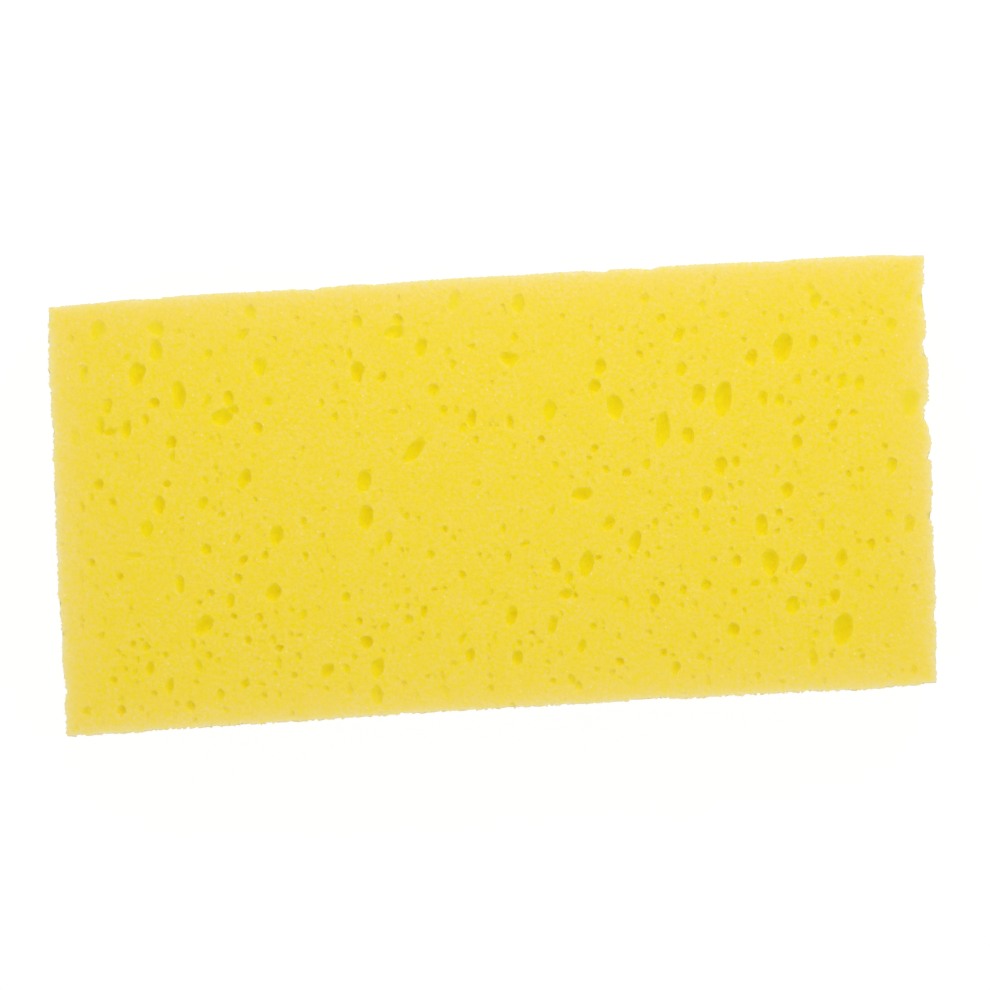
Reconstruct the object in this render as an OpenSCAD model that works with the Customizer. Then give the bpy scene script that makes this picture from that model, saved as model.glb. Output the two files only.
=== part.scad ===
// Cleaning sponge: one block of open-cell foam, sawn to size on all six sides.
// The saw opens every cell it meets, so each face is pitted. The large cells of the top
// face are placed one by one, and others are scattered over all the faces.
// Foam rises while it sets, which draws its cells out: here that was along Y.
// Frame: X is the length, Y the width, Z up, and the block rests on Z = 0.
// All sizes are in millimetres.

/* [Block] */

// Length of the block, measured along the middle of its top
sponge_l = 140; // [90:1:200]

// Width of the block
sponge_w = 69; // [50:1:110]

// Thickness of the block
sponge_t = 30; // [16:1:60]

// How far the right-hand end leans out over the width
lean_right = 1.8; // [0:0.1:4]

// How far the left-hand end leans in over the width
lean_left = 1.0; // [0:0.1:4]

/* [Cells] */

// Size of the open cells, as a share of the sizes below
cell_scale = 1.0; // [0.7:0.05:1.3]

// Mean distance between scattered cells
cell_pitch = 9; // [8:0.5:20]

// Width of the finest scattered cell
cell_fine = 0.9; // [0.6:0.1:1.4]

// Width of the coarsest scattered cell
cell_coarse = 3.2; // [1.6:0.1:4.5]

// Depth of a scattered cell, as a share of its width
cell_depth = 0.6; // [0.3:0.05:0.75]

// Length of a coarse scattered cell, as a multiple of its width
cell_stretch = 1.5; // [1:0.1:2]

// How much narrower a long cell is at its near end, as a share of its width
cell_taper = 0.15; // [0:0.05:0.3]

// Choice of the scatter
scatter_seed = 21; // [1:1:99]

/* [Hidden] */

foam_yellow = [0.95, 0.84, 0.26];

// A scattered cell strays from the middle of its square by up to this share of the pitch
jitter = 0.36;

// The coarsest of the cells scattered over the top, whose large cells are placed by hand
top_coarse = 1.5;

// Scattered cells up to this width stay round
round_up_to = 2.0;

// Slant of the scattered cells that are drawn out, in degrees
scatter_lean = 12;

// The large cells of the top face, drawn for a block of this length and width
drawn_l = 140;
drawn_w = 69;

// Each row: place in X, place in Y, width, length, lean to the right in degrees,
// and the depth as a share of the width
LARGE_CELLS = [
    // along the far edge
    [-63, 30.5, 2.6, 4.0, 25, 0.3],
    [-53, 31.5, 3.0, 3.6, 90, 0.3],
    [-39, 28.5, 1.4, 3.0, 45, 0.4],
    [-53.5, 26, 2.2, 4.0, 10, 0.4],
    [-65, 23.5, 1.2, 2.8, 10, 0.6],
    [-56.5, 23, 2.6, 3.8, 25, 0.6],
    [-37, 23, 2.2, 3.0, 10, 0.4],
    [-14.5, 27.5, 2.0, 3.4, 80, 0.6],
    [-20.5, 29, 1.7, 2.2, 0, 0.6],
    [-10.5, 24.5, 1.8, 3.4, 15, 0.6],
    [-5, 32, 2.0, 3.0, 30, 0.3],
    [5.5, 30.5, 1.9, 3.3, 10, 0.6],
    [4, 22, 2.2, 3.2, 105, 0.6],
    [31, 24, 1.6, 3.2, 20, 0.6],
    [53, 28, 1.8, 2.6, 15, 0.4],
    [67.5, 29, 2.2, 3.4, 15, 0.3],
    [65, 23.5, 1.5, 2.6, 10, 0.4],
    [47.5, 21, 3.0, 4.9, 20, 0.75],
    [42.5, 19.5, 2.0, 2.6, 15, 0.75],
    [52.5, 21.5, 1.5, 2.4, 10, 0.6],
    [59.5, 21.5, 1.5, 2.2, 15, 0.6],
    // between the far edge and the middle
    [-50, 19, 2.3, 4.6, 10, 0.6],
    [-61.5, 18, 1.5, 2.6, 10, 0.4],
    [-42, 18, 2.0, 2.5, 0, 0.6],
    [-43, 15.5, 2.4, 3.2, 80, 0.6],
    [-63, 15, 1.8, 3.0, 10, 0.4],
    [-58.5, 14, 1.7, 3.2, 10, 0.75],
    [-37.5, 13, 1.8, 2.2, 0, 0.6],
    [-51.5, 11.5, 1.8, 2.2, 10, 0.75],
    [-21, 21, 2.2, 3.2, 5, 0.75],
    [-17, 20, 1.5, 1.8, 20, 0.75],
    [-9, 17.5, 1.9, 2.2, 0, 0.6],
    [-3, 12.5, 1.8, 3.0, 5, 0.75],
    [18, 19.5, 2.0, 3.0, 10, 0.75],
    [17, 16.5, 2.0, 2.4, 25, 0.75],
    [9.5, 13, 2.0, 3.6, 5, 0.6],
    [20, 13, 2.8, 3.6, 5, 0.6],
    [31, 18.5, 1.7, 2.5, 10, 0.6],
    [33.5, 14, 2.4, 3.5, 15, 0.75],
    [37.5, 13, 2.8, 5.4, 10, 0.75],
    [44, 13, 1.6, 2.4, 0, 0.75],
    [46.5, 12.5, 1.6, 2.2, 0, 0.6],
    [56.5, 15, 1.8, 2.6, 15, 0.4],
    [59.5, 14.5, 1.4, 2.6, 25, 0.6],
    [66.5, 11, 3.0, 5.6, 10, 0.3],
    [70, 27, 1.6, 2.4, 0, 0.5],
    // across the middle
    [-63.5, 5.5, 1.6, 1.9, 15, 0.75],
    [-54, 1.5, 1.7, 3.0, 0, 0.75],
    [-47, 1.5, 1.6, 2.5, 15, 0.6],
    [-40, 5, 2.0, 3.4, 30, 0.75],
    [-56.5, -2, 2.0, 3.2, 5, 0.5],
    [-35.5, -4.5, 2.2, 3.2, 0, 0.75],
    [-21, 3.5, 2.1, 3.6, 15, 0.75],
    [-12.5, 8, 2.2, 5.0, 40, 0.7],
    [-21, -2.5, 2.3, 4.1, 10, 0.75],
    [-17.5, -6, 1.2, 3.0, 10, 0.75],
    [14, -0.5, 2.3, 3.4, 90, 0.75],
    [27.5, 9, 2.3, 5.6, 10, 0.75],
    [31.5, 7.5, 2.0, 2.7, 0, 0.7],
    [34, -2, 1.9, 2.6, 15, 0.75],
    [36.5, 2.5, 2.1, 3.0, 5, 0.75],
    [39, 3, 1.4, 1.9, 5, 0.75],
    [49, 5.5, 1.7, 2.6, 10, 0.75],
    [49.5, 9, 1.3, 2.3, 50, 0.75],
    [55, 8, 1.5, 2.1, 30, 0.7],
    [64, 1, 1.7, 2.7, 20, 0.6],
    [47, -2, 1.9, 2.6, 10, 0.7],
    [42.5, -7.5, 2.0, 3.5, 0, 0.75],
    [66, -8.5, 2.0, 3.0, 20, 0.4],
    [70, 7.5, 1.6, 1.6, 0, 0.5],
    [69.5, -7.5, 1.4, 1.4, 0, 0.5],
    // between the middle and the near edge
    [-47, -6, 1.7, 2.2, 0, 0.6],
    [-51.5, -11.5, 1.5, 3.4, -5, 0.6],
    [-36.5, -13.5, 2.4, 3.0, 30, 0.75],
    [-43.5, -14.5, 1.3, 2.8, 10, 0.7],
    [-48, -18, 2.5, 3.5, 40, 0.75],
    [-12.5, -18, 1.3, 2.1, 10, 0.75],
    [18, -5.5, 1.8, 2.8, 35, 0.75],
    [22, -9, 2.0, 4.0, 15, 0.7],
    [14, -12, 2.2, 4.0, 20, 0.7],
    [9, -12, 1.7, 2.6, 0, 0.7],
    [10.5, -16.5, 1.6, 2.4, 80, 0.75],
    [1.5, -19.5, 1.9, 3.2, 15, 0.75],
    [24.5, -18.5, 1.7, 2.2, 0, 0.7],
    [43.5, -13.5, 2.6, 4.2, 0, 0.75],
    [48, -14, 2.0, 3.6, 35, 0.75],
    [55, -13.5, 1.9, 3.0, 15, 0.75],
    [53.5, -19.5, 1.8, 2.4, 5, 0.75],
    [46.5, -20.5, 2.3, 3.0, 15, 0.6],
    // along the near edge
    [-57, -24.5, 1.5, 2.3, 15, 0.7],
    [-54, -27.5, 1.3, 2.8, 10, 0.7],
    [-62, -31, 1.5, 1.9, 0, 0.75],
    [-46, -29.5, 1.4, 2.2, 0, 0.6],
    [-22, -22.5, 2.1, 2.2, 0, 0.7],
    [-28.5, -26.5, 1.7, 2.8, 45, 0.7],
    [-20.5, -26.5, 2.0, 3.6, 15, 0.75],
    [-21, -31, 1.9, 3.6, 0, 0.6],
    [-5.5, -25.5, 1.7, 2.2, 0, 0.75],
    [8, -21.5, 1.4, 2.9, 20, 0.7],
    [2, -26.5, 1.9, 2.5, 0, 0.75],
    [12.5, -25, 1.4, 2.5, 30, 0.7],
    [27.5, -29.5, 1.5, 2.1, 10, 0.75],
    [37, -24, 2.1, 2.3, 0, 0.75],
    [54.5, -25, 3.2, 5.2, 10, 0.75],
    [49.5, -29.5, 1.3, 3.4, 0, 0.6],
];

// Radius of the ball that cuts a pit of half-width a and depth d
function ball_radius(a, d) = (a * a + d * d) / (2 * d);

// Balls strung along a cell, so that the next one starts well before the last has closed
function lobes(width, length) = 1 + ceil((length - width) / (0.6 * width) - 0.01);

// One open cell in a face that looks up +Z: a string of balls along its length,
// which shrink towards its near end
module cell(width, length, lean, depth) {
    n = lobes(width, length);
    reach = (length - width) * cell_scale;
    rotate([0, 0, -lean])
        for (k = [0 : n - 1]) {
            along = n > 1 ? k / (n - 1) : 0.5;
            across = width * cell_scale * (n > 1 ? 1 - cell_taper * (1 - along) : 1);
            r = ball_radius(across / 2, across * depth);
            translate([0, reach * (along - 0.5), r - across * depth])
                sphere(r, $fn = 24);
        }
}

// The large cells of the top face, kept at the same share of its length and width
module large_cells() {
    for (c = LARGE_CELLS)
        translate([c[0] * sponge_l / drawn_l, c[1] * sponge_w / drawn_w, 0])
            cell(c[2], c[3], c[4], c[5]);
}

// Cells scattered over a face of length l and width w, one to each square of the pitch.
// Most come out fine and a few coarse, and those are stretched along the face's own Y.
module scattered_cells(l, w, coarse, stretch, seed) {
    nx = max(2, floor(l / cell_pitch));
    ny = max(2, floor(w / cell_pitch));
    px = l / nx;
    py = w / ny;
    chance = rands(0, 1, 3 * nx * ny, scatter_seed * 10 + seed);
    for (i = [0 : nx - 1], j = [0 : ny - 1]) {
        k = 3 * (i * ny + j);
        width = cell_fine + (coarse - cell_fine) * pow(chance[k], 2.5);
        x = (i - (nx - 1) / 2 + jitter * (2 * chance[k + 1] - 1)) * px;
        y = (j - (ny - 1) / 2 + jitter * (2 * chance[k + 2] - 1)) * py;
        translate([x, y, 0])
            cell(width, width * (width > round_up_to ? stretch : 1), scatter_lean, cell_depth);
    }
}

// The sawn block, with ends that lean a little out of square
module block() {
    linear_extrude(height = sponge_t)
        polygon([
            [-sponge_l / 2 - lean_left / 2, -sponge_w / 2],
            [sponge_l / 2 - lean_right / 2, -sponge_w / 2],
            [sponge_l / 2 + lean_right / 2, sponge_w / 2],
            [-sponge_l / 2 + lean_left / 2, sponge_w / 2],
        ]);
}

// All the cells that the saw opened, face by face. The long sides cut the cells
// across, so there they are round.
module open_cells() {
    translate([0, 0, sponge_t]) {
        large_cells();
        scattered_cells(sponge_l, sponge_w, top_coarse, 1, 1);
    }
    rotate([180, 0, 0])
        scattered_cells(sponge_l, sponge_w, cell_coarse, cell_stretch, 2);
    for (side = [-1, 1])
        translate([0, side * sponge_w / 2, sponge_t / 2])
            rotate([-90 * side, 0, 0])
                scattered_cells(sponge_l, sponge_t, cell_coarse, 1, 4 + side);
    translate([sponge_l / 2, 0, sponge_t / 2])
        rotate([0, 0, -atan(lean_right / sponge_w)])
            rotate([0, 90, 0])
                scattered_cells(sponge_t, sponge_w, cell_coarse, cell_stretch, 6);
    translate([-sponge_l / 2, 0, sponge_t / 2])
        rotate([0, 0, -atan(lean_left / sponge_w)])
            rotate([0, -90, 0])
                scattered_cells(sponge_t, sponge_w, cell_coarse, cell_stretch, 7);
}

// The leaning ends shift the box that bounds the block, and this brings it back to the middle
module sponge() {
    color(foam_yellow)
        translate([(lean_left - lean_right) / 4, 0, 0])
            difference() {
                block();
                open_cells();
            }
}

sponge();
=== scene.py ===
import math
import random
from itertools import product

import bmesh
import bpy
import numpy as np
from bpy.props import FloatProperty, IntProperty, PointerProperty, StringProperty
from mathutils import Matrix, Vector, noise


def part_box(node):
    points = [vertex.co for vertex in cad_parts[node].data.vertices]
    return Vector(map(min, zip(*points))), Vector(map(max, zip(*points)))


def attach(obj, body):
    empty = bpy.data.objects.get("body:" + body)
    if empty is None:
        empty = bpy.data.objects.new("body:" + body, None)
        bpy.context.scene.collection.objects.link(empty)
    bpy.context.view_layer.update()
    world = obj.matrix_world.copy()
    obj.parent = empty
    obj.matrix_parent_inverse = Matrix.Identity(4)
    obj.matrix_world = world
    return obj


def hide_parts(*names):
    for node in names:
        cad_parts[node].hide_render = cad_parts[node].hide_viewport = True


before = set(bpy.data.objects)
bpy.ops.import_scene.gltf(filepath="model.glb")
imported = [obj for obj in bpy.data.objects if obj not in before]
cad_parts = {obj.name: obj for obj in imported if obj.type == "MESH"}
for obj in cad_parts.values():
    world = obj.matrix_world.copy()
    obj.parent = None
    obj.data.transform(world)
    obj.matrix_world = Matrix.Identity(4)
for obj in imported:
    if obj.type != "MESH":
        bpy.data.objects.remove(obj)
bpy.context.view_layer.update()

bl_info = {
    "name": "Cleaning Sponge",
    "version": (1, 0, 0),
    "blender": (4, 5, 0),
    "location": "View3D > Sidebar > Sponge",
    "description": "A cleaning sponge sawn from open-cell foam, on a white table",
    "category": "Add Mesh",
}

MM = 0.001

# Points this close together are one, and a point this close to the plane of a face lies on it
TOUCHING = 0.02 * MM

# A triangle with less than half of this area is too thin to face anywhere
SLIVER = 1e-6 * MM * MM

# How a point's move is eased until no triangle turns over: how far one may turn, as a cosine,
# by how much a move shrinks each time, and how many times
TURN_LIMIT = 0.3
EASING = 0.6
EASINGS = 40

# How deep a cell is cut, as a share of its width: a cell that the saw only grazed is
# shallow, and one that it opened near its widest is deep and looks darkest.
GRAZED = 0.3
SHALLOW = 0.45
HALF = 0.6
DEEP = 0.75
COMMONEST = (0, HALF)

# How the scattered cells are drawn: the place in a square of the pitch, the share of coarse cells
# on the top and on the other faces, the powers that make small ones the most common, the length
# over the width, the mean and spread of the lean in degrees, and the depth over the width
IN_SQUARE = (0.1, 0.9)
TOP_COARSE = 0.1
SIDE_COARSE = 0.3
FINE_POWER = 1.6
COARSE_POWER = 2
STRETCH = (1.0, 1.6)
LEAN = (12, 20)
FINE_DEPTH = (0.2, 0.36)
COARSE_DEPTH = (0.35, 0.6)

# A ball is split finer for each of these sizes in mm that its cell passes: the length of a listed
# cell, and the width of a scattered one
READ_DETAIL = (0, 0, 1.4, 2.5)
SCATTER_DETAIL = (0, 0.8, 1.6)

# The form of a cell's ball, in shares of its radius: the height of its lumps and how closely they
# lie, the taper to its near end, the shear on its way down, and how far down the flared rim goes
LUMPS = 0.16
LUMPS_PER_RADIUS = 1.1
TAPER = 0.12
SHEAR = 0.4
FLARE_RUN = 0.4

# How far round a ball no other cut may come, how far round a listed cell no scattered one
# may, and the side of the squares in which neighbours are looked up
CLEARANCE = 1.2
KEEP_OUT = 0.9
SQUARE = 6 * MM

# The rags of the cell walls: the length of each kind, and its share of the raggedness
RAGS = ((1.5 * MM, 1.0), (0.6 * MM, 0.4))

# How far apart the block's sides lie in the noise of the saw's strays, per m between them
SIDES_APART = 90

# The share of the fray that stands inside an edge, and what the far side, cut cleaner, has of it
FRAY_INSIDE = 0.3
FAR_SIDE_FRAY = 0.4

# The painted edge glow, pale colour that stands for light leaking in through the sawn sides: how much of an edge it
# covers, and how far in it fades
PAINTED_EDGE_GLOW = ((0.45, 0.45 * MM), (0.25, 2.6 * MM))

# Patches of torn walls: their size, and the factors where they are thickest and thinnest
PATCHES = ((3.5 * MM, 1.3, 0.7), (0.65 * MM, 1.9, 0.25))

# How deep in a cell the cut colour, paler partly from a painted sheen, ends
RIM = 0.28 * MM

# Each window between cells draws a number from 0 to 1. Below the first of these it is a cell too
# shallow to cut, and above the second it glints, with as much of the glint's colour as the third.
FAINT_BELOW = 0.55
GLINT_ABOVE = 0.7
GLINT_SHARE = 0.7

# The relief of the finest cells: its grain and its height
RELIEF = 0.55 * MM
RELIEF_HEIGHT = 0.12 * MM

# The table's half width in m, how bright the camera sees it and how much of that hides its shadow
TABLE = 2.0
TABLE_GLOW = 1.04
TABLE_SHARE = 0.9

# The soft boxes: their width, then each one's place, in m, and its setting
SOFT_BOX = 0.25
SOFT_BOXES = {"top_soft_box": ((0.03, 0.16, 0.2), "key"), "right_soft_box": ((0.45, 0.1, 0.3), "side")}

# The camera's sensor in mm, and the white of the room
SENSOR = 36.0
WHITE = (1, 1, 1, 1)

# Settings of nodes that come often
TIMES = {"operation": "MULTIPLY"}
TIMES_PLUS = {"operation": "MULTIPLY_ADD"}
LEAST = {"operation": "MINIMUM"}
MOST = {"operation": "MAXIMUM"}
SMOOTH = {"interpolation_type": "SMOOTHSTEP"}
COLOURS = {"data_type": "RGBA"}

# The large cells of the top face, where the CAD solid has them, with its depths rounded to the
# four above. In mm from the middle: x, y, width, length, then lean to the right in degrees, and
# depth. A row that stops short has the commonest values: no lean, and half depth.
LARGE_CELLS = (
    (-63, 30.5, 2.6, 4, 25, GRAZED), (-53, 31.5, 3, 3.6, 90, GRAZED), (-39, 28.5, 1.4, 3, 45, SHALLOW),
    (-53.5, 26, 2.2, 4, 10, SHALLOW), (-65, 23.5, 1.2, 2.8, 10), (-56.5, 23, 2.6, 3.8, 25),
    (-37, 23, 2.2, 3, 10, SHALLOW), (-14.5, 27.5, 2, 3.4, 80), (-20.5, 29, 1.7, 2.2), (-10.5, 24.5, 1.8, 3.4, 15),
    (-5, 32, 2, 3, 30, GRAZED), (5.5, 30.5, 1.9, 3.3, 10), (4, 22, 2.2, 3.2, 105), (31, 24, 1.6, 3.2, 20),
    (53, 28, 1.8, 2.6, 15, SHALLOW), (67.5, 29, 2.2, 3.4, 15, GRAZED), (65, 23.5, 1.5, 2.6, 10, SHALLOW),
    (47.5, 21, 3, 4.9, 20, DEEP), (42.5, 19.5, 2, 2.6, 15, DEEP), (52.5, 21.5, 1.5, 2.4, 10),
    (59.5, 21.5, 1.5, 2.2, 15), (70, 27, 1.6, 2.4, 0, SHALLOW), (-50, 19, 2.3, 4.6, 10),
    (-61.5, 18, 1.5, 2.6, 10, SHALLOW), (-42, 18, 2, 2.5), (-43, 15.5, 2.4, 3.2, 80),
    (-63, 15, 1.8, 3, 10, SHALLOW), (-58.5, 14, 1.7, 3.2, 10, DEEP), (-37.5, 13, 1.8, 2.2),
    (-51.5, 11.5, 1.8, 2.2, 10, DEEP), (-21, 21, 2.2, 3.2, 5, DEEP), (-17, 20, 1.5, 1.8, 20, DEEP),
    (-9, 17.5, 1.9, 2.2), (-3, 12.5, 1.8, 3, 5, DEEP), (18, 19.5, 2, 3, 10, DEEP), (17, 16.5, 2, 2.4, 25, DEEP),
    (9.5, 13, 2, 3.6, 5), (20, 13, 2.8, 3.6, 5), (31, 18.5, 1.7, 2.5, 10), (33.5, 14, 2.4, 3.5, 15, DEEP),
    (37.5, 13, 2.8, 5.4, 10, DEEP), (44, 13, 1.6, 2.4, 0, DEEP), (46.5, 12.5, 1.6, 2.2),
    (56.5, 15, 1.8, 2.6, 15, SHALLOW), (59.5, 14.5, 1.4, 2.6, 25), (66.5, 11, 3, 5.6, 10, GRAZED),
    (-63.5, 5.5, 1.6, 1.9, 15, DEEP), (-54, 1.5, 1.7, 3, 0, DEEP), (-47, 1.5, 1.6, 2.5, 15),
    (-40, 5, 2, 3.4, 30, DEEP), (-56.5, -2, 2, 3.2, 5, SHALLOW), (-35.5, -4.5, 2.2, 3.2, 0, DEEP),
    (-21, 3.5, 2.1, 3.6, 15, DEEP), (-12.5, 8, 2.2, 5, 40, DEEP), (-21, -2.5, 2.3, 4.1, 10, DEEP),
    (-17.5, -6, 1.2, 3, 10, DEEP), (14, -0.5, 2.3, 3.4, 90, DEEP), (27.5, 9, 2.3, 5.6, 10, DEEP),
    (31.5, 7.5, 2, 2.7, 0, DEEP), (34, -2, 1.9, 2.6, 15, DEEP), (36.5, 2.5, 2.1, 3, 5, DEEP),
    (39, 3, 1.4, 1.9, 5, DEEP), (49, 5.5, 1.7, 2.6, 10, DEEP), (49.5, 9, 1.3, 2.3, 50, DEEP),
    (55, 8, 1.5, 2.1, 30, DEEP), (64, 1, 1.7, 2.7, 20), (47, -2, 1.9, 2.6, 10, DEEP), (42.5, -7.5, 2, 3.5, 0, DEEP),
    (66, -8.5, 2, 3, 20, SHALLOW), (70, 7.5, 1.6, 1.6, 0, SHALLOW), (69.5, -7.5, 1.4, 1.4, 0, SHALLOW),
    (-47, -6, 1.7, 2.2), (-51.5, -11.5, 1.5, 3.4, -5), (-36.5, -13.5, 2.4, 3, 30, DEEP),
    (-43.5, -14.5, 1.3, 2.8, 10, DEEP), (-48, -18, 2.5, 3.5, 40, DEEP), (-12.5, -18, 1.3, 2.1, 10, DEEP),
    (18, -5.5, 1.8, 2.8, 35, DEEP), (22, -9, 2, 4, 15, DEEP), (14, -12, 2.2, 4, 20, DEEP),
    (9, -12, 1.7, 2.6, 0, DEEP), (10.5, -16.5, 1.6, 2.4, 80, DEEP), (1.5, -19.5, 1.9, 3.2, 15, DEEP),
    (24.5, -18.5, 1.7, 2.2, 0, DEEP), (43.5, -13.5, 2.6, 4.2, 0, DEEP), (48, -14, 2, 3.6, 35, DEEP),
    (55, -13.5, 1.9, 3, 15, DEEP), (53.5, -19.5, 1.8, 2.4, 5, DEEP), (46.5, -20.5, 2.3, 3, 15),
    (-57, -24.5, 1.5, 2.3, 15, DEEP), (-54, -27.5, 1.3, 2.8, 10, DEEP), (-62, -31, 1.5, 1.9, 0, DEEP),
    (-46, -29.5, 1.4, 2.2), (-22, -22.5, 2.1, 2.2, 0, DEEP), (-28.5, -26.5, 1.7, 2.8, 45, DEEP),
    (-20.5, -26.5, 2, 3.6, 15, DEEP), (-21, -31, 1.9, 3.6), (-5.5, -25.5, 1.7, 2.2, 0, DEEP),
    (8, -21.5, 1.4, 2.9, 20, DEEP), (2, -26.5, 1.9, 2.5, 0, DEEP), (12.5, -25, 1.4, 2.5, 30, DEEP),
    (27.5, -29.5, 1.5, 2.1, 10, DEEP), (37, -24, 2.1, 2.3, 0, DEEP), (54.5, -25, 3.2, 5.2, 10, DEEP),
    (49.5, -29.5, 1.3, 3.4),
)

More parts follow.
